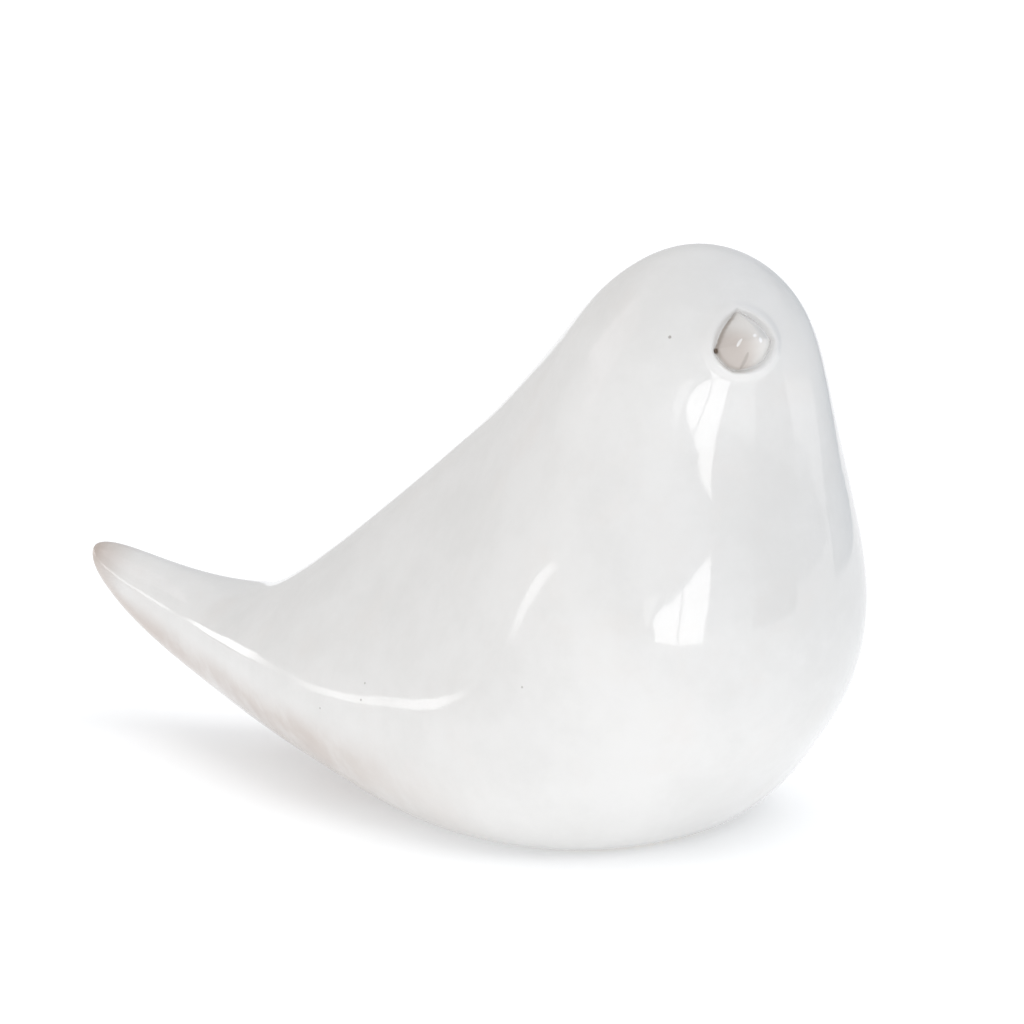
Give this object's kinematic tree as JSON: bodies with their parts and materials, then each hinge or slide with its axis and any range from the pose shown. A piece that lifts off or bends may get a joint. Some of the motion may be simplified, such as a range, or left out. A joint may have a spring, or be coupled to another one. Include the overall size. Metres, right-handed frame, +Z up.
{
  "type": "bird figurine",
  "caption": "Rounded bird figurine in white glazed porcelain, with a turned head, a small pinched beak and an upswept tail, standing on a flat foot.",
  "frame": {"origin": "centre of the flat foot on the underside", "axes": "+Z up; +Y towards the tail, so the breast faces -Y; the head turns towards -X, the bird's right"},
  "size_m": [0.0697, 0.1463, 0.0897],
  "materials": {
    "glaze": "clear glossy glaze over white"
  },
  "bodies": {
    "root": {"bird_figurine": "glaze"}
  },
  "joints": []
}
